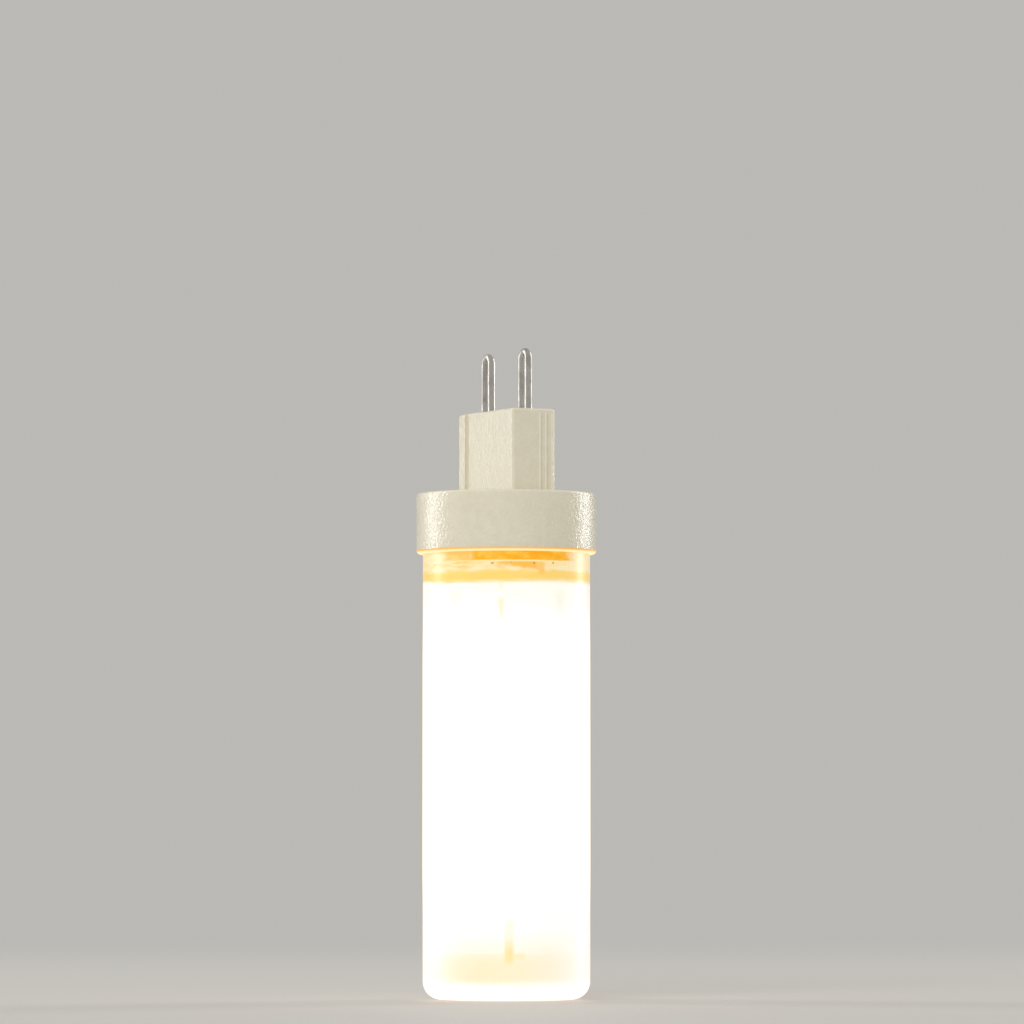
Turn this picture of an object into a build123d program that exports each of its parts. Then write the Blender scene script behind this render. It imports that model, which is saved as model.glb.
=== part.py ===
from build123d import *
import os

os.makedirs("parts", exist_ok=True)

# LED capsule bulb, base up and glass down. Millimetres, +Z up, origin under the glass on the axis.

# Glass tube
glass_od = 17.5
glass_wall = 0.9
glass_corner_r = 1.9
glass_floor = 1.0
inner_corner = 0.8
pip_d = 3.5
pip_h = 0.1
pip_shift_x = 0.34
pip_shift_y = 0.72

# Collar and spigot of the base moulding
glass_gap = 0.07
skirt_wall = 0.61
collar_low_z = 46.55
collar_h = 6.35
collar_top_bevel = 0.2
collar_lip = 0.45
lip_flat = 0.1305
collar_roof = 1.2
glass_depth = 2.85
spigot_drop = 3.05
spigot_wall = 1.0
spigot_bevel = 0.25
glue_room = 0.35

# Plug of the base moulding
plug_x = 13.3
plug_y = 5.0
plug_h = 8.6
plug_edge_r = 0.35
plug_tip_chamfer = 0.3
plug_roof = 1.2
plug_wall_x = 0.65
plug_wall_y = 0.75
channel_w = 3.4
channel_depth = 0.3
channel_x = 3.25
rib_r = 0.16
rib_pitch = 0.68
rib_first_y = 0.72
rib_count = 3
rib_seat = 0.048
rib_root = 0.2
join_lap = 0.5

# Contact pins, one bent wire each
pin_row = 9.0
wire_d = 0.75
pin_leg_gap = 1.6
pin_out = 6.4
pin_hole_gap = 0.1
outer_leg_in = 1.1
inner_leg_in = 3.15

# Boards and the grooves that hold them
fit_gap = 0.1
edge_gap = 0.15
driver_t = 0.8
driver_top_gap = 1.35
led_board_t = 1.0
led_board_clear = 1.15
led_board_low = 2.8
led_foot_cut = 0.8
tongue_gap = 0.25
tongue_h = 3.6
board_step = 0.3
guide_w = 0.5
guide_reach = 0.65
guide_h = 4.1
guide_root = 0.2
round_root = 0.3

# Parts on the driver board
solder_gap = 0.05
chip_gap_z = 1.5
bridge_w = 4.6
bridge_h = 3.8
driver_chip_w = 3.8
driver_chip_h = 4.6
package_t = 1.1
lead_t = 0.45
lead_out = 0.55
bridge_lead_w = 0.6
chip_lead_w = 0.4
lead_pitch = 1.2
fuse_w = 1.6
fuse_h = 3.2
fuse_t = 0.6
set_w = 1.25
set_h = 2.0
set_t = 0.5
part_gap = 0.3
solder_d = 1.6
solder_h = 0.4

# Capacitors under the collar and the wires between the boards
side_gap = 0.25
can_clear = 0.75
can_h = 6.0
can_bevel = 0.3
can_lead_pitch = 2.0
block_h = 4.4
block_bevel = 0.5
block_lead_pitch = 4.4
lead_w = 0.4
lead_rise = 0.9
link_w = 0.4
link_inset = 1.9
link_lap = 1.2

# Light emitting chips
chip_w = 3.5
chip_h = 2.8
chip_t = 0.7
chip_pitch_x = 4.2
chip_pitch_z = 3.8
chip_cols = 3
chip_rows = 10
chip_low_z = 2.7

# Glue between spigot and glass
glue_gap = 0.05
glue_rise = 0.6
glue_stop = 0.2

# Heights and radii that follow
glass_r = glass_od / 2
glass_in_r = glass_r - glass_wall
glass_low_z = pip_h
glass_top_z = collar_low_z + glass_depth
groove_r = glass_r + glass_gap
collar_r = groove_r + skirt_wall
collar_top_z = collar_low_z + collar_h
spigot_low_z = collar_low_z - spigot_drop
spigot_r = glass_in_r - glue_room
hollow_r = spigot_r - spigot_wall
collar_hollow_z = collar_top_z - collar_roof
plug_top_z = collar_top_z + plug_h
plug_hollow_z = plug_top_z - plug_roof
plug_in_x = plug_x / 2 - plug_wall_x
plug_in_y = plug_y / 2 - plug_wall_y
pin_x = pin_row / 2
leg_r = pin_leg_gap / 2
leg_end_z = plug_hollow_z - inner_leg_in
driver_half = plug_in_x - edge_gap
driver_z1 = plug_hollow_z - driver_top_gap
led_tongue_z = spigot_low_z - fit_gap
led_top_z = led_tongue_z + tongue_h
driver_z0 = led_top_z + board_step
led_board_z0 = glass_low_z + glass_floor + led_board_low
led_half = glass_in_r - led_board_clear
tongue_half = hollow_r - tongue_gap
front_face = -driver_t / 2 - solder_gap
back_face = driver_t / 2 + solder_gap
package_z = collar_top_z + chip_gap_z

# Glass envelope: blown tube, closed flat end with rounded corner and a faint closing pip
with BuildPart() as glass_envelope:
    with BuildSketch(Plane.XZ):
        with BuildLine():
            Polyline(
                (0, glass_low_z),
                (glass_r, glass_low_z),
                (glass_r, glass_top_z),
                (glass_in_r, glass_top_z),
                (glass_in_r, glass_low_z + glass_floor + inner_corner),
                (glass_in_r - inner_corner, glass_low_z + glass_floor),
                (0, glass_low_z + glass_floor),
                close=True,
            )
        make_face()
    revolve(axis=Axis.Z)
    fillet(glass_envelope.edges().filter_by(GeomType.CIRCLE).sort_by(Axis.Z)[0], glass_corner_r)
    with BuildSketch(Plane.XY):
        with Locations((pip_shift_x, pip_shift_y)):
            Circle(pip_d / 2)
    extrude(amount=pip_h)
glass_envelope.part.label = "glass_envelope"
export_step(glass_envelope.part, "parts/glass_envelope.step")

# Base housing: one moulding with spigot, groove for the glass, collar and flat plug
with BuildPart() as base_housing:
    with BuildSketch(Plane.XZ):
        with BuildLine():
            Polyline(
                (0, collar_hollow_z),
                (hollow_r, collar_hollow_z),
                (hollow_r, spigot_low_z),
                (spigot_r - spigot_bevel, spigot_low_z),
                (spigot_r, spigot_low_z + spigot_bevel),
                (spigot_r, glass_top_z),
                (groove_r, glass_top_z),
                (groove_r, collar_low_z),
                (collar_r - collar_lip, collar_low_z),
                (collar_r - lip_flat, collar_low_z + lip_flat),
                (collar_r, collar_low_z + collar_lip),
                (collar_r, collar_top_z - collar_top_bevel),
                (collar_r - collar_top_bevel, collar_top_z),
                (0, collar_top_z),
                close=True,
            )
        make_face()
    revolve(axis=Axis.Z)
    # Plug block
    with BuildSketch(Plane.XY.offset(collar_top_z - join_lap)):
        RectangleRounded(plug_x, plug_y, plug_edge_r)
    extrude(amount=plug_h + join_lap)
    chamfer(base_housing.faces().sort_by(Axis.Z)[-1].edges(), plug_tip_chamfer)
    # Shallow channel on each wide face, one turned half round from the other
    with BuildSketch(Plane.XY.offset(collar_top_z)):
        with Locations((-channel_x, -plug_y / 2), (channel_x, plug_y / 2)):
            Rectangle(channel_w, channel_depth * 2)
    extrude(amount=plug_h, mode=Mode.SUBTRACT)
    # Fine upright ribs on each narrow face
    with BuildSketch(Plane.XY.offset(collar_top_z - rib_root)):
        for turn in (1, -1):
            for i in range(rib_count):
                with Locations((turn * (plug_x / 2 - rib_seat), turn * (rib_first_y + i * rib_pitch))):
                    Circle(rib_r)
    extrude(amount=plug_h - plug_tip_chamfer)
    # Hollow of the plug
    with BuildSketch(Plane.XY.offset(collar_hollow_z - join_lap)):
        Rectangle(plug_in_x * 2, plug_in_y * 2)
    extrude(amount=plug_hollow_z - collar_hollow_z + join_lap, mode=Mode.SUBTRACT)
    # Holes for the four pin legs
    with BuildSketch(Plane.XY.offset(plug_hollow_z - join_lap)):
        with Locations(*[(s * pin_x + d * leg_r, 0) for s in (-1, 1) for d in (-1, 1)]):
            Circle(wire_d / 2 + pin_hole_gap)
    extrude(amount=plug_roof + join_lap * 2, mode=Mode.SUBTRACT)
    # Guide ribs in the plug for the driver board
    with BuildSketch(Plane.XY.offset(collar_hollow_z)):
        for sx in (-1, 1):
            for sy in (-1, 1):
                with Locations((sx * (plug_in_x - guide_reach / 2 + guide_root / 2),
                                sy * (driver_t / 2 + fit_gap + guide_w / 2))):
                    Rectangle(guide_reach + guide_root, guide_w)
    extrude(amount=driver_z1 - collar_hollow_z)
    # Guide ribs in the spigot for the chip board
    with BuildSketch(Plane.XY.offset(spigot_low_z)):
        for sx in (-1, 1):
            for sy in (-1, 1):
                with Locations((sx * (hollow_r - guide_reach / 2),
                                sy * (led_board_t / 2 + fit_gap + guide_w / 2))):
                    Rectangle(guide_reach + round_root * 2, guide_w)
    extrude(amount=guide_h)
base_housing.part.label = "base_housing"
export_step(base_housing.part, "parts/base_housing.step")

# Right contact pin: hairpin of round wire through the plug's roof, its inner leg down to the board
with BuildPart() as right_contact_pin:
    arc_z = plug_top_z + pin_out - wire_d / 2 - leg_r
    with BuildLine() as hairpin:
        Line((pin_x - leg_r, 0, leg_end_z), (pin_x - leg_r, 0, arc_z))
        ThreePointArc((pin_x - leg_r, 0, arc_z), (pin_x, 0, arc_z + leg_r), (pin_x + leg_r, 0, arc_z))
        Line((pin_x + leg_r, 0, arc_z), (pin_x + leg_r, 0, plug_hollow_z - outer_leg_in))
    with BuildSketch(Plane.XY.offset(leg_end_z)):
        with Locations((pin_x - leg_r, 0)):
            Circle(wire_d / 2)
    sweep(path=hairpin.line)
right_contact_pin.part.label = "right_contact_pin"
export_step(right_contact_pin.part, "parts/right_contact_pin.step")

# Left contact pin: the same wire turned half round
with BuildPart() as left_contact_pin:
    add(right_contact_pin.part.rotate(Axis.Z, 180))
left_contact_pin.part.label = "left_contact_pin"
export_step(left_contact_pin.part, "parts/left_contact_pin.step")

# Glue ring: set adhesive between the spigot and the inside of the glass
with BuildPart() as glue_ring:
    with BuildSketch(Plane.XY.offset(spigot_low_z + glue_rise)):
        Circle(glass_in_r - glue_gap)
        Circle(spigot_r + glue_gap, mode=Mode.SUBTRACT)
    extrude(amount=glass_top_z - glue_stop - spigot_low_z - glue_rise)
glue_ring.part.label = "glue_ring"
export_step(glue_ring.part, "parts/glue_ring.step")

# Driver board: upright in the plug's guides, slots at the top edge for the inner pin legs
with BuildPart() as driver_board:
    with BuildSketch(Plane.XZ):
        with Locations((0, (driver_z0 + driver_z1) / 2)):
            Rectangle(driver_half * 2, driver_z1 - driver_z0)
        with Locations(*[(s * (pin_x - leg_r), driver_z1) for s in (-1, 1)]):
            Rectangle(wire_d + 2 * fit_gap, 2 * (driver_z1 - leg_end_z + fit_gap), mode=Mode.SUBTRACT)
    extrude(amount=driver_t / 2, both=True)
driver_board.part.label = "driver_board"
export_step(driver_board.part, "parts/driver_board.step")

# Solder joints: one pad of solder on each face of the driver board over each pin leg
with BuildPart() as pin_solder_joints:
    for turn in (0, 180):
        with BuildSketch(Plane.XZ.rotated((0, 0, turn)).offset(driver_t / 2 + solder_gap)):
            with Locations(*[(s * (pin_x - leg_r), (leg_end_z + driver_z1) / 2) for s in (-1, 1)]):
                Circle(solder_d / 2)
        extrude(amount=solder_h)
pin_solder_joints.part.label = "pin_solder_joints"
export_step(pin_solder_joints.part, "parts/pin_solder_joints.step")

# Bridge rectifier: low moulded body with four leads, back face of the driver board
with BuildPart() as bridge_rectifier:
    with BuildSketch(Plane.XZ.offset(-back_face)):
        with Locations((0, package_z)):
            Rectangle(bridge_w, bridge_h)
    extrude(amount=-package_t, taper=5)
    with BuildSketch(Plane.XZ.offset(-back_face)):
        with Locations(*[(sx * bridge_w / 2, package_z + sz * lead_pitch)
                         for sx in (-1, 1) for sz in (-1, 1)]):
            Rectangle(lead_out * 2, bridge_lead_w)
    extrude(amount=-lead_t)
bridge_rectifier.part.label = "bridge_rectifier"
export_step(bridge_rectifier.part, "parts/bridge_rectifier.step")

# Driver chip: current regulator with eight leads, front face of the driver board
with BuildPart() as driver_chip:
    with BuildSketch(Plane.XZ.offset(-front_face)):
        with Locations((0, package_z)):
            Rectangle(driver_chip_w, driver_chip_h)
    extrude(amount=package_t, taper=5)
    with BuildSketch(Plane.XZ.offset(-front_face)):
        with Locations(*[(sx * driver_chip_w / 2, package_z + (k - 1.5) * lead_pitch)
                         for sx in (-1, 1) for k in range(4)]):
            Rectangle(lead_out * 2, chip_lead_w)
    extrude(amount=lead_t)
driver_chip.part.label = "driver_chip"
export_step(driver_chip.part, "parts/driver_chip.step")

# Fuse resistor: flat block beside the bridge rectifier
with BuildPart() as fuse_resistor:
    with BuildSketch(Plane.XZ.offset(-back_face)):
        with Locations((bridge_w / 2 + lead_out + part_gap + fuse_w / 2, package_z)):
            Rectangle(fuse_w, fuse_h)
    extrude(amount=-fuse_t)
fuse_resistor.part.label = "fuse_resistor"
export_step(fuse_resistor.part, "parts/fuse_resistor.step")

# Current setting resistors: two flat blocks beside the driver chip
with BuildPart() as set_resistors:
    set_x = driver_chip_w / 2 + lead_out + part_gap * 2 + set_w / 2
    with BuildSketch(Plane.XZ.offset(-front_face)):
        with Locations((-set_x, package_z), (set_x, package_z)):
            Rectangle(set_w, set_h)
    extrude(amount=set_t)
set_resistors.part.label = "set_resistors"
export_step(set_resistors.part, "parts/set_resistors.step")

# Smoothing capacitor: upright can behind the boards, two leads bent over to the driver board
with BuildPart() as smoothing_capacitor:
    can_r = (hollow_r - led_board_t / 2 - side_gap - can_clear) / 2
    can_y = led_board_t / 2 + side_gap + can_r
    can_z = spigot_low_z + side_gap
    with BuildSketch(Plane.XY.offset(can_z)):
        with Locations((0, can_y)):
            Circle(can_r)
    extrude(amount=can_h)
    chamfer(smoothing_capacitor.edges().filter_by(GeomType.CIRCLE), can_bevel)
    lead_z = can_z + can_h + lead_rise
    for sx in (-1, 1):
        with BuildSketch(Plane.YZ.offset(sx * can_lead_pitch / 2)):
            with BuildLine():
                Polyline((can_y - lead_w / 2, can_z + can_h - lead_w),
                         (can_y + lead_w / 2, can_z + can_h - lead_w),
                         (can_y + lead_w / 2, lead_z), (back_face, lead_z), (back_face, lead_z - lead_w),
                         (can_y - lead_w / 2, lead_z - lead_w), close=True)
            make_face()
        extrude(amount=lead_w / 2, both=True)
smoothing_capacitor.part.label = "smoothing_capacitor"
export_step(smoothing_capacitor.part, "parts/smoothing_capacitor.step")

# Film capacitor: dipped block in front of the boards, two leads bent over to the driver board
with BuildPart() as film_capacitor:
    block_x = hollow_r
    block_y = hollow_r * 0.4
    block_cy = -led_board_t / 2 - side_gap - block_y / 2
    block_z = driver_z0 + lead_w * 3 - lead_rise - block_h + lead_w
    with BuildSketch(Plane.XY.offset(block_z)):
        with Locations((0, block_cy)):
            Rectangle(block_x, block_y)
    extrude(amount=block_h)
    chamfer(film_capacitor.edges(), block_bevel)
    hook_z = block_z + block_h + lead_rise
    for sx in (-1, 1):
        with BuildSketch(Plane.YZ.offset(sx * block_lead_pitch / 2)):
            with BuildLine():
                Polyline((block_cy + lead_w / 2, block_z + block_h - lead_w),
                         (block_cy - lead_w / 2, block_z + block_h - lead_w),
                         (block_cy - lead_w / 2, hook_z), (front_face, hook_z),
                         (front_face, hook_z - lead_w),
                         (block_cy + lead_w / 2, hook_z - lead_w), close=True)
            make_face()
        extrude(amount=lead_w / 2, both=True)
film_capacitor.part.label = "film_capacitor"
export_step(film_capacitor.part, "parts/film_capacitor.step")

# Chip board: double sided, tongue held in the spigot's guides, shoulders under the spigot's end
with BuildPart() as led_board:
    with BuildSketch(Plane.XZ):
        with BuildLine():
            Polyline((-led_half + led_foot_cut, led_board_z0), (led_half - led_foot_cut, led_board_z0),
                     (led_half, led_board_z0 + led_foot_cut), (led_half, led_tongue_z),
                     (tongue_half, led_tongue_z), (tongue_half, led_top_z),
                     (-tongue_half, led_top_z), (-tongue_half, led_tongue_z),
                     (-led_half, led_tongue_z), (-led_half, led_board_z0 + led_foot_cut), close=True)
        make_face()
    extrude(amount=led_board_t / 2, both=True)
led_board.part.label = "led_board"
export_step(led_board.part, "parts/led_board.step")

# Link wires: two flat tinned wires that join the chip board to the driver board
with BuildPart() as board_link_wires:
    with BuildSketch(Plane.XY.offset(led_top_z - link_lap)):
        with Locations(*[(s * (hollow_r - link_inset), -led_board_t / 2 - solder_gap - link_w / 2)
                         for s in (-1, 1)]):
            Rectangle(link_w, link_w)
    extrude(amount=board_step + link_lap * 2)
board_link_wires.part.label = "board_link_wires"
export_step(board_link_wires.part, "parts/board_link_wires.step")

# Light emitting chips on the front face of the chip board
with BuildPart() as led_chips_front:
    for row in range(chip_rows):
        for col in range(chip_cols):
            with Locations(((col - (chip_cols - 1) / 2) * chip_pitch_x,
                            -led_board_t / 2 - solder_gap - chip_t / 2,
                            led_board_z0 + chip_low_z + row * chip_pitch_z)):
                Box(chip_w, chip_t, chip_h)
led_chips_front.part.label = "led_chips_front"
export_step(led_chips_front.part, "parts/led_chips_front.step")

# Light emitting chips on the back face: the front set turned half round
with BuildPart() as led_chips_back:
    add(led_chips_front.part.rotate(Axis.Z, 180))
led_chips_back.part.label = "led_chips_back"
export_step(led_chips_back.part, "parts/led_chips_back.step")
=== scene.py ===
import bpy
import bmesh
import math
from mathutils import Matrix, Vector


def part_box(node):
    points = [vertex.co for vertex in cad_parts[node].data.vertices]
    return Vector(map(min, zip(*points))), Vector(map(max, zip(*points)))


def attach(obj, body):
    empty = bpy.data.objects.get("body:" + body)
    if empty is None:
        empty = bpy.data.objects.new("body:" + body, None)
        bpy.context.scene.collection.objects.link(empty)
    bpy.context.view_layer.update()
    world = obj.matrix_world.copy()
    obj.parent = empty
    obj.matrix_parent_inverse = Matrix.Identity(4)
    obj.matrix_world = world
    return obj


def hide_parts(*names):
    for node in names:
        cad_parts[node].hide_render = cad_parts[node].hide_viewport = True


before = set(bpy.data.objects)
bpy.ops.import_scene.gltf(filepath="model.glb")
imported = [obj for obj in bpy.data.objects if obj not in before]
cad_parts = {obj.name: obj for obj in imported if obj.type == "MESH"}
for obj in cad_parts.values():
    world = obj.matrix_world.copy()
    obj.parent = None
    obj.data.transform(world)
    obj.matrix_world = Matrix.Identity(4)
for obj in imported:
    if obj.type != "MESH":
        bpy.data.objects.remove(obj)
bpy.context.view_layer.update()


# Glass tube
# The envelope is a tube of milky glass, blown to a flat end with a rounded corner. A faint pip
# shows where the melt was closed. The chips inside light it warm white, and near its mouth the
# spigot and the set glue behind the glass show as an amber band.
glass_low, glass_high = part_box("glass_envelope")
tube_r = glass_high.x
tube_wall = 0.0009
tube_floor = 0.0010
tube_corner = 0.0019
inner_corner = 0.0010
inner_r = tube_r - tube_wall
mouth_z = glass_high.z
mouth_in = 0.0001
mouth_down = 0.0002
pip_height = 0.0001
pip_reach = 0.00175
pip_crown = 1.4
pip_place = Vector((0.00034, 0.00072))
end_z = glass_low.z + pip_height
end_rings = 18
end_ring = 0.00035
side_rings = 30
sag_height = 0.0012
sag_spread = 0.0030
sag_share = 0.0028


def in_scene(name, data):
    """A new object at the origin with this mesh or curve."""
    piece = bpy.data.objects.new(name, data)
    bpy.context.scene.collection.objects.link(piece)
    return piece


def as_piece(name, shape):
    """The built shape as a piece, with its faces turned outwards."""
    bmesh.ops.recalc_face_normals(shape, faces=shape.faces)
    mesh = bpy.data.meshes.new(name)
    shape.to_mesh(mesh)
    shape.free()
    return in_scene(name, mesh)


def turned(name, profile, steps):
    """A turned shape: the profile's points of radius and height, swept round the upright axis."""
    shape = bmesh.new()
    rings = []
    for r, z in profile:
        if r == 0:
            rings.append([shape.verts.new((0, 0, z))])
        else:
            rings.append([shape.verts.new((r * math.cos(2 * math.pi * k / steps),
                                           r * math.sin(2 * math.pi * k / steps), z)) for k in range(steps)])
    for a, b in zip(rings, rings[1:]):
        for k in range(steps):
            n = (k + 1) % steps
            if len(a) == 1:
                shape.faces.new((a[0], b[n], b[k]))
            elif len(b) == 1:
                shape.faces.new((a[k], a[n], b[0]))
            else:
                shape.faces.new((a[k], a[n], b[n], b[k]))
    return as_piece(name, shape)


def quarter(cx, cz, r, start, steps):
    """Points of a quarter round, counted anticlockwise from the start angle in degrees."""
    return [(cx + r * math.cos(math.radians(start + 90 * i / steps)),
             cz + r * math.sin(math.radians(start + 90 * i / steps))) for i in range(steps + 1)]


def smooth_to(piece, degrees):
    """Smooth shading, with edges sharper than this angle kept crisp."""
    piece.data.shade_smooth()
    piece.data.set_sharp_from_angle(angle=math.radians(degrees))


straight = mouth_z - end_z - tube_corner - mouth_down
tube_profile = [(end_ring * i, end_z) for i in range(end_rings + 1)]
tube_profile += quarter(tube_r - tube_corner, end_z + tube_corner, tube_corner, 270, 16)
tube_profile += [(tube_r, end_z + tube_corner + straight * i / side_rings) for i in range(1, side_rings + 1)]
tube_profile += [(tube_r - mouth_in, mouth_z), (inner_r + mouth_in, mouth_z), (inner_r, mouth_z - mouth_down)]
tube_profile += quarter(inner_r - inner_corner, end_z + tube_floor + inner_corner, inner_corner, 270, 8)[::-1]
tube_profile += [(0.0, end_z + tube_floor)]
glass_tube = turned("glass_tube", tube_profile, 160)
for v in glass_tube.data.vertices:
    # The pip stands a little off the axis, and the blown corner sags in and out by a hair
    out = Vector((v.co.x, v.co.y))
    if v.co.z < end_z + 1e-7:
        near = max(0.0, 1 - (out - pip_place).length / pip_reach)
        v.co.z -= pip_height * min(1.0, near * near * (3 - 2 * near) * pip_crown)
    turn = math.atan2(v.co.y, v.co.x)
    sag = max(0.0, 1 - abs(v.co.z - end_z - sag_height) / sag_spread) * (out.length / tube_r) ** 6
    pull = 1 - sag_share * sag * (0.5 + 0.3 * math.sin(3 * turn + 0.7) + 0.2 * math.sin(5 * turn + 2.1))
    v.co.x *= pull
    v.co.y *= pull
smooth_to(glass_tube, 40)


def put(tree, kind, given=None, **settings):
    """One node of that kind in the tree, with its settings, and its inputs set or linked."""
    made = tree.nodes.new(kind)
    for key, value in settings.items():
        setattr(made, key, value)
    for key, value in (given or {}).items():
        if isinstance(value, bpy.types.NodeSocket):
            tree.links.new(value, made.inputs[key])
        else:
            made.inputs[key].default_value = value
    return made


def feed(value, node, key):
    value.id_data.links.new(value, node.inputs[key])


def calc(step, a, b=0.0):
    """A Math node, in the tree of the input that is a socket."""
    tree = (a if isinstance(a, bpy.types.NodeSocket) else b).id_data
    return put(tree, "ShaderNodeMath", {0: a, 1: b}, operation=step).outputs[0]


def plus(a, b):
    return calc("ADD", a, b)


def minus(a, b):
    return calc("SUBTRACT", a, b)


def higher(a, b):
    return calc("MAXIMUM", a, b)


def times(first, *others):
    """All of them multiplied together, so that a mask made of masks is one where all are."""
    product = first
    for value in others:
        product = calc("MULTIPLY", product, value)
    return product


def rise(value, low, high, start=0.0, end=1.0):
    """A soft step: start before low, end past high."""
    given = {"Value": value, "From Min": low, "From Max": high, "To Min": start, "To Max": end}
    return put(value.id_data, "ShaderNodeMapRange", given, interpolation_type="SMOOTHSTEP").outputs["Result"]


def between(value, low, high, soft):
    """One inside low to high, nought outside, with edges that soft."""
    return times(rise(value, low - soft, low + soft), rise(value, high - soft, high + soft, 1.0, 0.0))


def tint(mask, a, b):
    """Colour a where the mask is nought, colour b where it is one."""
    a, b = (tone if isinstance(tone, bpy.types.NodeSocket) else (*tone, 1.0) for tone in (a, b))
    return put(mask.id_data, "ShaderNodeMix", {0: mask, 6: a, 7: b}, data_type="RGBA").outputs[2]


def vector_calc(step, a, b):
    return put(a.id_data, "ShaderNodeVectorMath", {0: a, 1: b}, operation=step).outputs[0]


def clouds(vector, scale, detail, roughness=0.5, distortion=0.0):
    """Soft noise about a half."""
    given = {"Vector": vector, "Scale": scale, "Detail": detail, "Roughness": roughness,
             "Distortion": distortion}
    return put(vector.id_data, "ShaderNodeTexNoise", given).outputs["Fac"]


def in_millimetres(tree, stretch=(1, 1, 1)):
    """The piece's own coordinates in millimetres, stretched where a grain runs one way."""
    coords = put(tree, "ShaderNodeTexCoord").outputs["Object"]
    return vector_calc("MULTIPLY", coords, tuple(1000 * s for s in stretch))


def new_finish(name, **shader):
    """A material with one Principled shader, its plain values set on the shader's own sockets."""
    made = bpy.data.materials.new(name)
    made.use_nodes = True
    body = made.node_tree.nodes["Principled BSDF"]
    for key, value in shader.items():
        body.inputs[key.replace("_", " ")].default_value = value
    return made, made.node_tree, body


def raise_skin(shader, height, strength, depth):
    """Bumps the shader's surface by the height, that deep."""
    bump = put(height.id_data, "ShaderNodeBump", {"Height": height, "Strength": strength, "Distance": depth})
    feed(bump.outputs[0], shader, "Normal")


glow_strength = 2.0
milky_glass, glass_tree, glass_shader = new_finish(
    "milky_glass", IOR=1.5, Specular_IOR_Level=0.1, Coat_Weight=0.6, Coat_Roughness=0.3, Coat_IOR=1.5,
    Coat_Tint=(1.0, 0.97, 0.92, 1.0), Emission_Strength=glow_strength)
glass_mm = in_millimetres(glass_tree)
gx, gy, gz = put(glass_tree, "ShaderNodeSeparateXYZ", {0: glass_mm}).outputs
# The front of the glass faces between +X and -Y: across runs to its right, toward comes out of it
front_x, front_y = 0.903, -0.429
across = plus(times(gx, -front_y), times(gy, front_x))
toward = plus(times(gx, front_x), times(gy, front_y))
front = rise(toward, -0.5, 0.5)
# The board's shadows show on both broad sides, turned half round, and not on the edges
both = times(across, rise(toward, -0.01, 0.01, -1.0, 1.0))
broad = rise(calc("ABSOLUTE", toward), 0.3, 3.5)


def patch(side, x_low, x_high, x_soft, z_low, z_high, z_soft):
    """A soft-edged upright rectangle on the glass, in millimetres."""
    return times(between(side, x_low, x_high, x_soft), between(gz, z_low, z_high, z_soft))


smears = clouds(vector_calc("MULTIPLY", glass_mm, (0.30, 0.30, 1.5)), 1.0, 3.0, 0.55, 0.7)
drifts = clouds(glass_mm, 0.22, 2.0)
ragged = minus(clouds(glass_mm, 0.9, 4.0, 0.6), 0.5)
wavy_z = plus(gz, times(minus(drifts, 0.5), 0.5))
band_dip = times(rise(across, -6.5, -8.4), 0.22)
band = rise(minus(wavy_z, band_dip), 43.10, 43.52)

# Every tone below is the colour the lit glass shows; glow and skin share it out further on.
# First the band: thin cloudy glue, deeper along its foot, pale where it was wiped in a sweep
thin_glue, pale_glue, side_glue = (1.02, 0.78, 0.34), (1.02, 0.86, 0.52), (1.02, 0.86, 0.53)
foot_glue, swept_glue = (1.02, 0.71, 0.18), (1.02, 0.88, 0.55)
glue_tone = tint(rise(smears, 0.42, 0.62), thin_glue, pale_glue)
glue_tone = tint(times(rise(across, 4.6, 6.2), front), glue_tone, side_glue)
foot_top = plus(wavy_z, times(minus(smears, 0.5), 1.4))
glue_foot = times(rise(wavy_z, 43.4, 43.85), rise(foot_top, 45.0, 44.1))
glue_tone = tint(times(glue_foot, 0.9), glue_tone, foot_glue)
sweep = between(plus(gz, times(smears, 1.2)), 45.25, 45.55, 0.2)
glue_tone = tint(times(sweep, 0.75), glue_tone, swept_glue)

# A deep wedge that widens to the right, a few stray smears, and one run of glue down from it
wedge_glue, run_glue = (1.02, 0.56, 0.11), (1.02, 0.60, 0.15)
wedge_low = minus(45.35, times(plus(across, 1.8), 0.16))
wedge_in = plus(minus(gz, wedge_low), times(ragged, 0.9))
wedge = times(rise(wedge_in, -0.18, 0.22), rise(gz, 45.55, 45.45),
              between(plus(across, times(ragged, 2.5)), -0.9, 3.5, 0.7), front)
stray = times(rise(drifts, 0.48, 0.58), rise(smears, 0.5, 0.4), between(gz, 44.8, 45.5, 0.15))
glue_tone = tint(higher(wedge, times(stray, 0.5)), glue_tone, wedge_glue)
glue_run = times(patch(across, 3.35, 3.95, 0.18, 44.2, 45.5, 0.25), front)
glue_tone = tint(times(glue_run, 0.8), glue_tone, run_glue)

# Thick glue just under the collar, and the thin bright line and bubbles along its lower edge
thick_glue, lit_glue = (1.02, 0.455, 0.015), (1.02, 0.60, 0.085)
line_glue, bubble_brown = (1.02, 0.84, 0.42), (0.55, 0.20, 0.02)
thick_front = times(front, between(plus(across, times(ragged, 2.0)), -3.7, 6.6, 0.6))
thick_left = times(front, between(across, -6.2, -3.6, 0.5), 0.55)
thick_back = times(minus(1.0, front), rise(drifts, 0.46, 0.52))
thick_side = higher(thick_front, higher(thick_left, thick_back))
thick_z = plus(gz, times(ragged, 0.22))
thick_lit = rise(plus(ragged, times(smears, 0.8)), 0.28, 0.58)
thick = times(rise(thick_z, 45.56, 45.68), thick_side)
glue_tone = tint(thick, glue_tone, tint(thick_lit, thick_glue, lit_glue))
bright_line = times(between(thick_z, 45.44, 45.56, 0.04), thick_side)
glue_tone = tint(times(bright_line, 0.9), glue_tone, line_glue)
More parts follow.
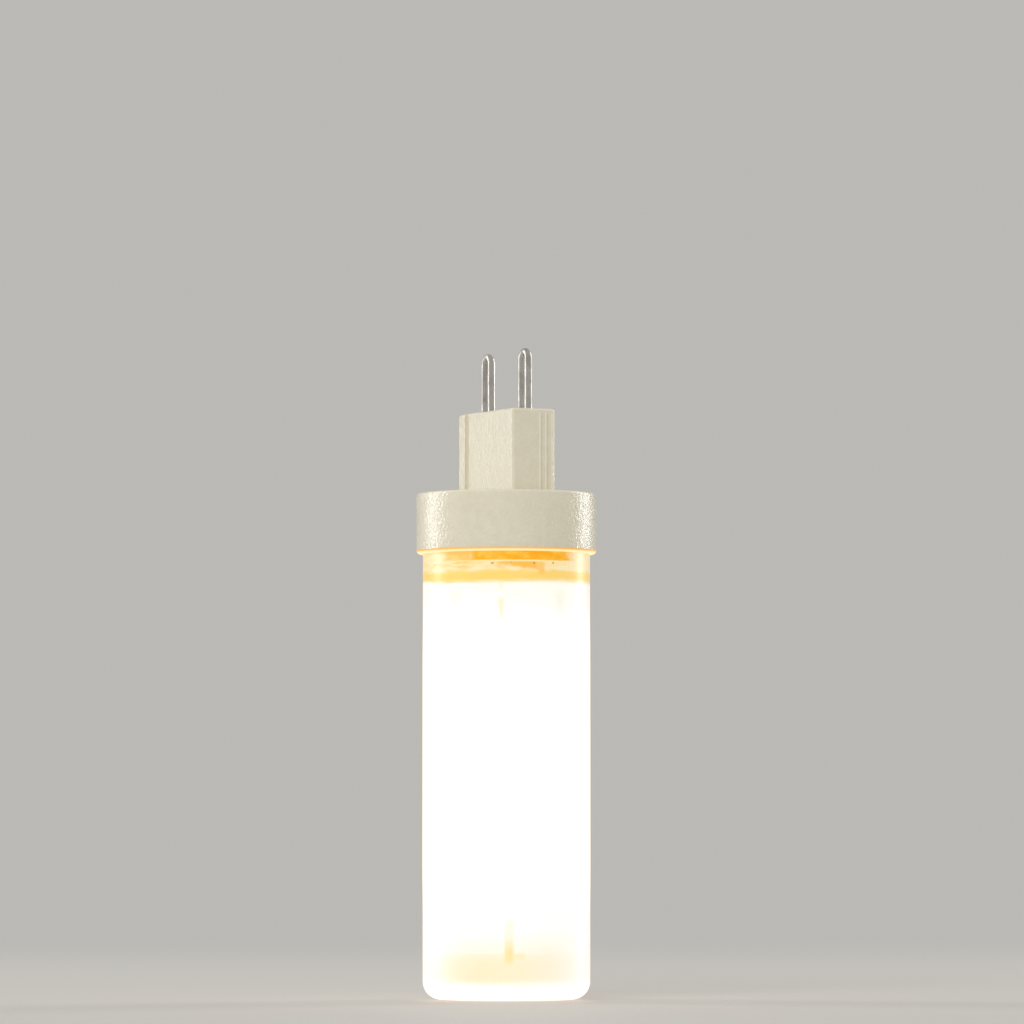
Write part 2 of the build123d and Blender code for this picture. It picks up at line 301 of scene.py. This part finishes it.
cells = put(glass_tree, "ShaderNodeTexVoronoi", {"Vector": glass_mm, "Scale": 1.9})
picked = put(glass_tree, "ShaderNodeSeparateColor", {0: cells.outputs["Color"]}).outputs[0]
bubbles = times(rise(cells.outputs["Distance"], 0.26, 0.18), rise(picked, 0.25, 0.3),
                between(gz, 45.22, 45.42, 0.05))
large_bubble = times(patch(across, -1.62, -1.30, 0.10, 45.20, 45.36, 0.06), front)
glue_tone = tint(higher(bubbles, times(large_bubble, 0.8)), glue_tone, bubble_brown)

# Below the band the glass is fully lit, less so towards both ends of the board
fully_lit, end_lit, floor_lit = (2.35, 2.05, 1.65), (1.30, 1.14, 1.12), (1.65, 1.50, 1.36)
warm_white, cream_white = (1.19, 1.07, 0.98), (1.12, 1.02, 0.89)
core = tint(higher(rise(gz, 15.0, 8.5), rise(gz, 35.0, 40.5)), fully_lit, end_lit)
core = tint(rise(gz, 2.4, 0.8), core, floor_lit)
warm_top = times(rise(gz, 39.8, 42.4), rise(smears, 0.35, 0.6, 0.5, 1.0))
core = tint(warm_top, core, warm_white)
warm_low = times(rise(gz, 8.2, 4.9), rise(gz, 1.4, 3.0), rise(both, -9.6, -3.5), rise(both, 9.6, 3.5))
core = tint(warm_low, core, cream_white)

# Painted shadow of the board's upper edge, tapering down from painted shade at the band, and the dim zone
# under the board's end
board_top_shadow_tone, shade_root_tone = (1.06, 0.97, 0.78), (1.05, 0.95, 0.74)
dim_right, dim_left = (1.05, 0.925, 0.665), (1.04, 0.89, 0.62)
shadow_half_width = put(glass_tree, "ShaderNodeMapRange", {"Value": gz, "From Min": 39.5, "From Max": 41.6,
                                                   "To Min": 0.02, "To Max": 0.34}).outputs["Result"]
shadow_off_middle = plus(calc("ABSOLUTE", plus(both, 0.55)), times(ragged, 0.25))
board_top_shadow = times(rise(minus(shadow_off_middle, shadow_half_width), 0.34, -0.14), between(gz, 39.4, 41.7, 0.35))
core = tint(times(board_top_shadow, broad), core, board_top_shadow_tone)
board_top_shade_root = times(patch(both, -0.8, -0.3, 0.35, 42.6, 43.3, 0.3), rise(ragged, -0.25, 0.05))
core = tint(times(board_top_shade_root, broad), core, shade_root_tone)
dim_top = plus(rise(gz, 5.25, 4.75, 0.0, 0.6), rise(gz, 5.0, 3.7, 0.0, 0.4))
dim = times(dim_top, rise(gz, 1.15, 2.6), rise(both, -9.8, -2.5), rise(both, 9.6, -1.0),
            rise(clouds(glass_mm, 0.5, 2.0), 0.2, 0.6, 0.88, 1.0))
core = tint(dim, core, tint(rise(both, 0.5, -6.0), dim_right, dim_left))

# The smaller shadows: across and up in millimetres, each with its softness, then strength and tone
for x_low, x_high, x_soft, z_low, z_high, z_soft, strength, shadow_tone in (
        (-5.6, -5.0, 0.7, 40.9, 42.3, 0.6, 1.0, (1.05, 0.985, 0.88)),  # left blot under the band
        (5.3, 5.8, 0.6, 40.4, 42.2, 0.8, 1.0, (1.05, 0.985, 0.88)),  # right blot
        (0.7, 1.9, 0.35, 4.5, 5.0, 0.2, 0.8, (1.04, 0.90, 0.56)),  # foot to the right of the strip
        (-0.10, 0.72, 0.24, 6.0, 8.5, 0.35, 0.9, (1.07, 1.0, 0.87)),  # upper part of the strip
        (-0.22, -0.02, 0.12, 5.9, 7.4, 0.5, 0.55, (1.05, 0.94, 0.70)),  # its left outline
        (0.58, 0.74, 0.12, 5.9, 7.6, 0.5, 0.22, (1.05, 0.94, 0.70)),  # its right outline
        (-0.14, 0.72, 0.24, 4.0, 6.35, 0.4, 1.0, (1.04, 0.93, 0.64)),  # its lower part
        (-0.12, 0.70, 0.24, 4.1, 5.55, 0.45, 1.0, (1.03, 0.86, 0.44))):  # its dark lower end
    shadow = times(patch(both, x_low, x_high, x_soft, z_low, z_high, z_soft), strength, broad)
    core = tint(shadow, core, shadow_tone)

# The skin takes a share of the tone, and the glow adds what the room's light on it leaves over
skin_share, skin_most = (0.46, 0.46, 0.46), (0.56, 0.53, 0.47)
room_share, room_shine = (0.95, 0.95, 0.95), (0.015, 0.015, 0.015)
shown = tint(band, core, glue_tone)
skin = vector_calc("MINIMUM", vector_calc("MULTIPLY", shown, skin_share), skin_most)
left_over = vector_calc("SUBTRACT", shown, vector_calc("MULTIPLY", skin, room_share))
glow = vector_calc("MULTIPLY", vector_calc("SUBTRACT", left_over, room_shine), (1 / glow_strength,) * 3)
feed(skin, glass_shader, "Base Color")
feed(vector_calc("MAXIMUM", glow, (0.0, 0.0, 0.0)), glass_shader, "Emission Color")
# Faint upright lines from the drawing of the tube
draw_lines = clouds(vector_calc("MULTIPLY", glass_mm, (1.4, 1.4, 0.08)), 1.0, 4.0)
raise_skin(glass_shader, draw_lines, 0.06, 0.0002)
feed(rise(draw_lines, 0.3, 0.7, 0.26, 0.36), glass_shader, "Roughness")
glass_tube.data.materials.append(milky_glass)
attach(glass_tube, "root")
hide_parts("glass_envelope")


# Base moulding
# Collar, spigot and plug are one glossy cream moulding. The collar's skirt holds the glass's mouth.
# The flat plug has a shallow channel on each wide face and fine ribs on the narrow ones, and its tip
# has the holes for the pin legs.
housing_low, housing_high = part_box("base_housing")
collar_r = housing_high.x
collar_low_z = 0.04655
collar_top_z = 0.0529
collar_roof = 0.0012
collar_edge_r = 0.00028
collar_lip_r = 0.00045
collar_ring_in = 0.0016
groove_r = tube_r + 0.00007
groove_mouth_out = 0.00006
groove_mouth_up = 0.00008
spigot_r = inner_r - 0.00035
spigot_low_z = housing_low.z
spigot_nose = 0.00025
hollow_r = spigot_r - 0.0010
hollow_top_z = collar_top_z - collar_roof
plug_x = 0.0133
plug_y = 0.0050
plug_top_z = housing_high.z
plug_corner_r = 0.00035
plug_tip_r = 0.0003
plug_lap = 0.0006
plug_roof = 0.0012
plug_hollow_x = 0.0120
plug_hollow_y = 0.0035
plug_hollow_corner_r = 0.0002
cut_lap = 0.0005
channel_middle = 0.00325
channel_width = 0.0034
channel_depth = 0.0003
channel_corner_r = 0.00012
rib_radius = 0.00016
rib_height = 0.0083
rib_pitch = 0.00068
rib_first = 0.00072
rib_middle_z = collar_top_z + 0.0040
rib_sunk = 0.3
rib_count = 3
wire_d = 0.00075
pin_bend_r = 0.0008
inner_leg_x = 0.0045 - pin_bend_r
outer_leg_x = 0.0045 + pin_bend_r
leg_hole_r = wire_d / 2 + 0.0001
leg_hole_depth = 0.002
moulded_edge = 0.00005

collar_profile = [(0.0, hollow_top_z), (hollow_r, hollow_top_z), (hollow_r, spigot_low_z),
                  (spigot_r - spigot_nose, spigot_low_z), (spigot_r, spigot_low_z + spigot_nose),
                  (spigot_r, mouth_z), (groove_r, mouth_z), (groove_r, collar_low_z + groove_mouth_up),
                  (groove_r + groove_mouth_out, collar_low_z)]
collar_profile += quarter(collar_r - collar_lip_r, collar_low_z + collar_lip_r, collar_lip_r, 270, 7)
collar_profile += [(collar_r, collar_low_z + collar_ring_in), (collar_r, collar_top_z - collar_ring_in)]
collar_profile += quarter(collar_r - collar_edge_r, collar_top_z - collar_edge_r, collar_edge_r, 0, 6)
collar_profile += [(0.0, collar_top_z)]
base_moulding = turned("base_moulding", collar_profile, 192)


def upright(name, outline, low, high, tip=0.0):
    """An upright block over a flat outline, with its top edge rounded in by tip."""
    centre_x, centre_y = (sum(p[i] for p in outline) / len(outline) for i in (0, 1))
    half_x, half_y = (max(abs(p[i] - c) for p in outline) for i, c in ((0, centre_x), (1, centre_y)))
    levels = [(low, 0.0), (high - tip, 0.0)]
    if tip:
        levels += [(high - tip + up, tip - out) for out, up in quarter(0, 0, tip, 0, 3)[1:]]
    shape = bmesh.new()
    rings = [[shape.verts.new((centre_x + (x - centre_x) * (1 - inset / half_x),
                               centre_y + (y - centre_y) * (1 - inset / half_y), z)) for x, y in outline]
             for z, inset in levels]
    count = len(outline)
    for a, b in zip(rings, rings[1:]):
        for k in range(count):
            shape.faces.new((a[k], a[(k + 1) % count], b[(k + 1) % count], b[k]))
    shape.faces.new(list(reversed(rings[0])))
    shape.faces.new(rings[-1])
    return as_piece(name, shape)


def rounded_outline(cx, cy, wide, deep, r, steps):
    """The outline of a rectangle with rounded corners, anticlockwise."""
    points = []
    for sx, sy, start in ((1, 1, 0), (-1, 1, 90), (-1, -1, 180), (1, -1, 270)):
        points += quarter(cx + sx * (wide / 2 - r), cy + sy * (deep / 2 - r), r, start, steps)
    return points


def ring_outline(cx, r, steps):
    turns = [2 * math.pi * k / steps for k in range(steps)]
    return [(cx + r * math.cos(a), r * math.sin(a)) for a in turns]


def settled(piece):
    """The piece's mesh with its modifiers worked in, and the modifiers taken off."""
    mesh = bpy.data.meshes.new_from_object(piece.evaluated_get(bpy.context.evaluated_depsgraph_get()))
    piece.modifiers.clear()
    return mesh


def cut_or_join(piece, tool, how):
    """Joins the tool to the piece or cuts it away, and drops the tool."""
    change = piece.modifiers.new("shape", "BOOLEAN")
    change.operation = how
    change.solver = "EXACT"
    change.object = tool
    piece.data = settled(piece)
    bpy.data.objects.remove(tool)


def new_group(name, kind, inputs, outputs):
    """An empty tree with these named sockets, and its outgoing and incoming ends."""
    tree = bpy.data.node_groups.new(name, kind)
    for in_out, sockets in (("INPUT", inputs), ("OUTPUT", outputs)):
        for label, socket in sockets.items():
            tree.interface.new_socket(label, in_out=in_out, socket_type="NodeSocket" + socket)
    return tree, tree.nodes.new("NodeGroupInput").outputs, tree.nodes.new("NodeGroupOutput")


def grown(piece, tree, values):
    """The mesh that the tree makes from the piece with these values."""
    growth = piece.modifiers.new(tree.name, "NODES")
    growth.node_group = tree
    keys = {s.name: s.identifier for s in tree.interface.items_tree if s.in_out == "INPUT"}
    for label, value in values.items():
        growth[keys[label]] = value
    return settled(piece)


# The fine ribs: upright round ribs in a row, laid out by a tree and sunk into one narrow face
rib_tree, rib_in, rib_out = new_group("plug_ribs", "GeometryNodeTree", {
    "Geometry": "Geometry", "Rib radius": "Float", "Rib height": "Float", "Pitch": "Float", "Count": "Int",
    "Finish": "Material"}, {"Geometry": "Geometry"})
rib_step = put(rib_tree, "ShaderNodeCombineXYZ", {"Y": rib_in["Pitch"]})
rib_line = put(rib_tree, "GeometryNodeMeshLine", {"Count": rib_in["Count"], "Offset": rib_step.outputs[0]},
               mode="OFFSET")
rib_shape = put(rib_tree, "GeometryNodeMeshCylinder", {"Vertices": 20, "Radius": rib_in["Rib radius"],
                                                       "Depth": rib_in["Rib height"]})
rib_set = put(rib_tree, "GeometryNodeInstanceOnPoints", {"Points": rib_line.outputs["Mesh"],
                                                         "Instance": rib_shape.outputs["Mesh"]})
rib_real = put(rib_tree, "GeometryNodeRealizeInstances", {"Geometry": rib_set.outputs["Instances"]})
rib_done = put(rib_tree, "GeometryNodeSetMaterial", {"Geometry": rib_real.outputs["Geometry"],
                                                     "Material": rib_in["Finish"]})
feed(rib_done.outputs["Geometry"], rib_out, "Geometry")

cream_moulding, cream_tree, cream_shader = new_finish(
    "cream_moulding", IOR=1.55, Specular_IOR_Level=1.0, Emission_Strength=1.0)


def rib_row(turn):
    """One row of ribs on the narrow face at that end of the plug."""
    row = in_scene("rib_row", bpy.data.meshes.new("rib_row"))
    row.data = grown(row, rib_tree, {"Rib radius": rib_radius, "Rib height": rib_height, "Count": rib_count,
                                     "Pitch": turn * rib_pitch, "Finish": cream_moulding})
    rib_x = plug_x / 2 - rib_radius * rib_sunk
    for v in row.data.vertices:
        v.co += Vector((turn * rib_x, turn * rib_first, rib_middle_z))
    return row


plug_outline = rounded_outline(0, 0, plug_x, plug_y, plug_corner_r, 6)
plug = upright("plug", plug_outline, collar_top_z - plug_lap, plug_top_z, plug_tip_r)
cut_or_join(base_moulding, plug, "UNION")
for turn in (1, -1):
    channel_outline = rounded_outline(-turn * channel_middle, -turn * plug_y / 2, channel_width,
                                      2 * channel_depth, channel_corner_r, 4)
    channel = upright("channel", channel_outline, collar_top_z, plug_top_z + cut_lap)
    cut_or_join(base_moulding, channel, "DIFFERENCE")
    cut_or_join(base_moulding, rib_row(turn), "UNION")
hollow_outline = rounded_outline(0, 0, plug_hollow_x, plug_hollow_y, plug_hollow_corner_r, 3)
plug_hollow = upright("plug_hollow", hollow_outline, hollow_top_z - cut_lap, plug_top_z - plug_roof)
cut_or_join(base_moulding, plug_hollow, "DIFFERENCE")
for x in (-outer_leg_x, -inner_leg_x, inner_leg_x, outer_leg_x):
    leg_hole = upright("leg_hole", ring_outline(x, leg_hole_r, 32), plug_top_z - leg_hole_depth,
                       plug_top_z + 2 * cut_lap)
    cut_or_join(base_moulding, leg_hole, "DIFFERENCE")
edge_round = base_moulding.modifiers.new("edges", "BEVEL")
edge_round.width = moulded_edge
edge_round.segments = 2
edge_round.limit_method = "ANGLE"
edge_round.angle_limit = math.radians(38)
base_moulding.data = settled(base_moulding)
smooth_to(base_moulding, 35)
# The flat faces shade flat right up to their rounded edges
flat_shade = base_moulding.modifiers.new("flat_shade", "WEIGHTED_NORMAL")
flat_shade.weight = 100
flat_shade.keep_sharp = True
base_moulding.data = settled(base_moulding)

# Orange peel: the shallow waves that a mould leaves on a glossy skin, used on moulded and dipped parts
orange_peel, peel_in, peel_out = new_group("orange_peel", "ShaderNodeTree", {
    "Vector": "Vector", "Scale": "Float"}, {"Height": "Float", "Mottle": "Float"})
peel_fine = clouds(peel_in["Vector"], peel_in["Scale"], 3.0)
peel_wide = clouds(peel_in["Vector"], times(peel_in["Scale"], 0.3), 2.0)
feed(plus(times(peel_fine, 0.72), times(peel_wide, 0.28)), peel_out, "Height")
feed(peel_wide, peel_out, "Mottle")


def peel(vector, scale):
    """The orange peel's height and mottle on these coordinates."""
    made = vector.id_data.nodes.new("ShaderNodeGroup")
    made.node_tree = orange_peel
    made.inputs["Scale"].default_value = scale
    feed(vector, made, "Vector")
    return made.outputs["Height"], made.outputs["Mottle"]


cream_deep, cream_pale = (0.66, 0.615, 0.475), (0.68, 0.635, 0.495)
cream_height, cream_mottle = peel(in_millimetres(cream_tree, (1, 1, 0.8)), 3.8)
cream_tone = tint(rise(cream_mottle, 0.35, 0.65), cream_deep, cream_pale)
feed(rise(cream_mottle, 0.3, 0.7, 0.12, 0.19), cream_shader, "Roughness")
raise_skin(cream_shader, cream_height, 1.0, 0.00010)
# Painted glow: the lit glass's light on the moulding's lower rim is painted as emission, orange where it is
# thick, pale right over the glass
painted_rim_orange, painted_rim_pale, painted_rim_tone = (0.52, 0.24, 0.0), (0.86, 0.63, 0.36), (0.46, 0.25, 0.05)
rim_x, rim_y, rim_z = put(cream_tree, "ShaderNodeSeparateXYZ", {0: in_millimetres(cream_tree)}).outputs
rim_across = put(cream_tree, "ShaderNodeCombineXYZ", {0: rim_x, 1: rim_y}).outputs[0]
rim_reach = put(cream_tree, "ShaderNodeVectorMath", {0: rim_across}, operation="LENGTH").outputs["Value"]
rim_out = rise(rim_reach, 8.70, 8.80)
rim_low = times(rise(rim_z, 47.02, 46.86), rim_out)
rim_under = times(rise(rim_z, 46.84, 46.70), rim_out)
painted_rim_glow = tint(rim_under, tint(rim_low, (0.0, 0.0, 0.0), painted_rim_orange), painted_rim_pale)
feed(painted_rim_glow, cream_shader, "Emission Color")
# Painted glow: the rim's base colour is tinted orange-brown where the glass's light falls on it
feed(tint(times(rim_low, 0.95), cream_tone, painted_rim_tone), cream_shader, "Base Color")
base_moulding.data.materials.clear()
base_moulding.data.materials.append(cream_moulding)
for face in base_moulding.data.polygons:
    face.material_index = 0
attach(base_moulding, "root")
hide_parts("base_housing")


# Contact pins
# Each pin is one length of bright round wire bent to a hairpin. It stands out of the plug's tip in
# the wide way of the plug, and its inner leg runs down to the driver board, where it is soldered.
outer_leg_depth = 0.0023
pin_tree, pin_in, pin_out = new_group("pin_wire", "GeometryNodeTree", {
    "Geometry": "Geometry", "Wire diameter": "Float", "Finish": "Material"}, {"Geometry": "Geometry"})
pin_ring = put(pin_tree, "GeometryNodeCurvePrimitiveCircle", {
    "Resolution": 28, "Radius": calc("DIVIDE", pin_in["Wire diameter"], 2.0)})
pin_tube = put(pin_tree, "GeometryNodeCurveToMesh", {
    "Curve": pin_in["Geometry"], "Profile Curve": pin_ring.outputs["Curve"], "Fill Caps": True})
pin_real = put(pin_tree, "GeometryNodeRealizeInstances", {"Geometry": pin_tube.outputs["Mesh"]})
pin_done = put(pin_tree, "GeometryNodeSetMaterial", {"Geometry": pin_real.outputs["Geometry"],
                                                     "Material": pin_in["Finish"]})
feed(pin_done.outputs["Geometry"], pin_out, "Geometry")

pin_bright, pin_stained = (0.62, 0.605, 0.58), (0.50, 0.48, 0.445)
pin_steel, pin_shade, pin_shader = new_finish("pin_steel", Metallic=1.0)
pin_grain = clouds(in_millimetres(pin_shade, (9, 9, 0.5)), 1.0, 4.0)
pin_stain = clouds(in_millimetres(pin_shade), 0.7, 2.0)
feed(tint(rise(pin_stain, 0.4, 0.7), pin_bright, pin_stained), pin_shader, "Base Color")
feed(rise(pin_grain, 0.3, 0.7, 0.24, 0.42), pin_shader, "Roughness")
raise_skin(pin_shader, pin_grain, 0.25, 0.00002)

for node, side in (("right_contact_pin", 1), ("left_contact_pin", -1)):
    pin_low, pin_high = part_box(node)
    bend_z = pin_high.z - wire_d / 2 - pin_bend_r
    path = [(inner_leg_x, pin_low.z), (inner_leg_x, bend_z)]
    path += [(inner_leg_x + pin_bend_r * (1 - math.cos(math.pi * i / 20)),
              bend_z + pin_bend_r * math.sin(math.pi * i / 20)) for i in range(1, 20)]
    path += [(outer_leg_x, bend_z), (outer_leg_x, plug_top_z - outer_leg_depth)]
    line = bpy.data.curves.new(node + "_line", "CURVE")
    line.dimensions = "3D"
    bend = line.splines.new("POLY")
    bend.points.add(len(path) - 1)
    for point, (x, z) in zip(bend.points, path):
        point.co = (side * x, 0, z, 1)
    wire = in_scene(node + "_line", line)
    pin = in_scene(node + "_wire", grown(wire, pin_tree, {"Wire diameter": wire_d, "Finish": pin_steel}))
    bpy.data.objects.remove(wire)
    smooth_to(pin, 40)
    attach(pin, "root")
    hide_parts(node)


# Glue ring
# Clear glue, set amber, fills the gap between spigot and glass. It was spread by hand, so it is
# cloudy and uneven.
def dress(node, finish):
    """Gives the carried-over piece its finish."""
    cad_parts[node].data.materials.clear()
    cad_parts[node].data.materials.append(finish)


set_glue, glue_tree, glue_shader = new_finish("set_glue", Roughness=0.2, Coat_Weight=0.5)
glue_cloud = clouds(in_millimetres(glue_tree, (1, 1, 2)), 0.8, 3.0)
feed(tint(rise(glue_cloud, 0.35, 0.65), (0.72, 0.44, 0.12), (0.86, 0.68, 0.36)), glue_shader, "Base Color")
dress("glue_ring", set_glue)


# Boards
# The driver board is green laminate with tracks under its lacquer, and stands in the plug's guides.
# The chip board is white, so that it throws its light outwards, and stands upright in the glass.
def laminate(name, ground, track, pitch):
    """Lacquered laminate with a weave, and tracks that pitch apart in a grid."""
    made, tree, shader = new_finish(name, Roughness=0.4, Coat_Weight=0.3)
    board_mm = in_millimetres(tree)
    stood_up = put(tree, "ShaderNodeMapping", {"Vector": board_mm, "Rotation": (math.pi / 2, 0, 0)})
    tracks = put(tree, "ShaderNodeTexBrick", {
        "Vector": stood_up.outputs[0], "Color1": (1, 1, 1, 1), "Color2": (0.8, 0.8, 0.8, 1),
        "Mortar": (0, 0, 0, 1), "Scale": pitch, "Mortar Size": 0.06, "Mortar Smooth": 0.2}).outputs["Color"]
    tone = times(tracks, rise(clouds(board_mm, 3.0, 3.0), 0.3, 0.7, 0.7, 1.0))
    feed(tint(tone, track, ground), shader, "Base Color")
    raise_skin(shader, tone, 0.3, 0.00003)
    return made


dress("driver_board", laminate("board_green", (0.03, 0.17, 0.07), (0.10, 0.32, 0.12), 0.55))
dress("led_board", laminate("board_white", (0.86, 0.86, 0.83), (0.74, 0.73, 0.68), 0.30))


# Light emitting chips
# Each chip is a white moulded frame filled with yellow phosphor, lit warm white. They are soldered
# to both faces of the chip board in rows of three.
chip_pitch_x, chip_pitch_z, chip_first_z = 4.2, 3.8, 6.6
pool_half_x, pool_half_z, pool_soft = 1.40, 1.07, 0.05
frame_white, phosphor_yellow = (0.88, 0.87, 0.83), (0.95, 0.72, 0.22)
frame_glow, phosphor_glow = (0.35, 0.26, 0.15), (1.0, 0.80, 0.50)
phosphor, chip_tree, chip_shader = new_finish("phosphor_chip", Coat_Weight=0.4, Emission_Strength=4.0)
chip_mm = in_millimetres(chip_tree)
chip_x, _, chip_z = put(chip_tree, "ShaderNodeSeparateXYZ", {0: chip_mm}).outputs
# Ten pitches are added because the folding needs values above nought
chip_col = calc("PINGPONG", plus(chip_x, 10 * chip_pitch_x), chip_pitch_x / 2)
chip_row = calc("PINGPONG", plus(chip_z, 10 * chip_pitch_z - chip_first_z), chip_pitch_z / 2)
in_pool = times(rise(chip_col, pool_half_x + pool_soft, pool_half_x - pool_soft),
                rise(chip_row, pool_half_z + pool_soft, pool_half_z - pool_soft))
feed(tint(in_pool, frame_white, phosphor_yellow), chip_shader, "Base Color")
feed(tint(in_pool, frame_glow, phosphor_glow), chip_shader, "Emission Color")
feed(rise(clouds(chip_mm, 6.0, 2.0), 0.3, 0.7, 0.22, 0.4), chip_shader, "Roughness")
dress("led_chips_front", phosphor)
dress("led_chips_back", phosphor)


# Parts on the driver board
# Black moulded packages, a dipped brown-red film capacitor, a plain drawn capacitor can, tinned
# wires and bright solder.
def moulded(name, colour, scale, rough, depth):
    """A moulded or dipped skin with orange peel of that scale and depth."""
    made, tree, shader = new_finish(name, Roughness=rough)
    height, mottle = peel(in_millimetres(tree), scale)
    darker = tuple(c * 0.75 for c in colour)
    feed(tint(rise(mottle, 0.35, 0.65), darker, colour), shader, "Base Color")
    raise_skin(shader, height, 0.4, depth)
    return made


def drawn_metal(name, colour, rough):
    """Drawn metal with a fine upright grain."""
    made, tree, shader = new_finish(name, Metallic=1.0)
    grain = clouds(in_millimetres(tree, (6, 6, 0.6)), 1.0, 3.0)
    feed(tint(grain, tuple(c * 0.8 for c in colour), colour), shader, "Base Color")
    feed(rise(grain, 0.3, 0.7, rough * 0.8, rough * 1.3), shader, "Roughness")
    return made


package_black = moulded("package_black", (0.035, 0.035, 0.04), 4.0, 0.55, 0.00004)
for node in ("bridge_rectifier", "driver_chip", "fuse_resistor", "set_resistors"):
    dress(node, package_black)
dress("film_capacitor", moulded("dipped_red", (0.45, 0.09, 0.04), 1.2, 0.22, 0.00008))
dress("smoothing_capacitor", drawn_metal("can_metal", (0.72, 0.72, 0.74), 0.3))
dress("board_link_wires", drawn_metal("tinned", (0.75, 0.74, 0.70), 0.28))
dress("pin_solder_joints", drawn_metal("solder_bright", (0.68, 0.68, 0.68), 0.22))


# Floor and light
# A plain pale floor that runs out of sight, soft even room light, and tall soft lights at both sides.
floor_first, floor_growth, floor_rings = 0.02, 1.42, 17
floor_profile = [(0.0, 0.0)] + [(floor_first * floor_growth ** i, 0.0) for i in range(floor_rings)]
floor = turned("floor", floor_profile, 96)
if floor.data.polygons[0].normal.z < 0:
    floor.data.flip_normals()
pale_floor, floor_tree, floor_shader = new_finish("pale_floor", Roughness=0.7, Specular_IOR_Level=0.2)
floor_tone = tint(clouds(in_millimetres(floor_tree), 0.02, 2.0), (0.495, 0.482, 0.455), (0.505, 0.492, 0.465))
feed(floor_tone, floor_shader, "Base Color")


def seen_directly(tree):
    """One for rays that see the surface itself, in the camera, in a mirror or through glass."""
    ray = put(tree, "ShaderNodeLightPath").outputs
    return higher(ray["Is Camera Ray"], higher(ray["Is Glossy Ray"], ray["Is Transmission Ray"]))


# Further out the floor runs into the backdrop, so no edge shows between them
backdrop_tone = (0.50, 0.487, 0.462)
run_out_from, run_out_to = 0.08, 0.36
floor_place = put(floor_tree, "ShaderNodeTexCoord").outputs["Object"]
floor_reach = put(floor_tree, "ShaderNodeVectorMath", {0: floor_place}, operation="LENGTH").outputs["Value"]
far_floor = put(floor_tree, "ShaderNodeEmission", {"Color": (*backdrop_tone, 1.0)})
far_out = times(rise(floor_reach, run_out_from, run_out_to), seen_directly(floor_tree))
run_out = put(floor_tree, "ShaderNodeMixShader", {
    0: far_out, 1: floor_shader.outputs[0], 2: far_floor.outputs[0]})
feed(run_out.outputs[0], floor_tree.nodes["Material Output"], "Surface")
floor.data.materials.append(pale_floor)

# Ahead is where the camera stands, straight before the front of the glass
ahead = Vector((front_x, front_y, 0.0))
aside = Vector((-front_y, front_x, 0.0))
centre = Vector((0.0, 0.0, 0.035))


def soft_light(name, to_right, forward, up, wide, high, watts, mirrored=True):
    """A soft light that many metres from the bulb's middle, turned to it."""
    lamp = bpy.data.lights.new(name, "AREA")
    lamp.shape = "RECTANGLE"
    lamp.size, lamp.size_y = wide, high
    lamp.energy = watts
    light = in_scene(name, lamp)
    light.location = centre + aside * to_right + ahead * forward + Vector((0, 0, up))
    light.rotation_euler = (centre - light.location).to_track_quat("-Z", "Y").to_euler()
    light.visible_glossy = mirrored


soft_light("left_light", -0.52, -0.18, 0.14, 0.15, 0.5, 1.15)
soft_light("right_light", 0.48, -0.30, 0.14, 0.16, 0.5, 1.25)
soft_light("front_light", -0.45, 1.2, 0.5, 0.9, 0.9, 8.0, mirrored=False)

world = bpy.data.worlds.new("pale_room")
bpy.context.scene.world = world
world.use_nodes = True
room = world.node_tree
feed(tint(seen_directly(room), (0.80, 0.79, 0.78), backdrop_tone), room.nodes["Background"], "Color")
room.nodes["Background"].inputs["Strength"].default_value = 1.0

eye_distance, eye_height = 0.631, 0.0182
looked_at = aside * 0.00058 + Vector((0, 0, 0.0510))
eye = bpy.data.cameras.new("camera")
eye.sensor_width = 36.0
eye.lens = 212.0
eye.clip_start = 0.01
camera = in_scene("camera", eye)
camera.location = ahead * eye_distance + Vector((0, 0, eye_height))
camera.rotation_euler = (looked_at - camera.location).to_track_quat("-Z", "Y").to_euler()
bpy.context.scene.camera = camera
bpy.context.scene.view_settings.view_transform = "Standard"
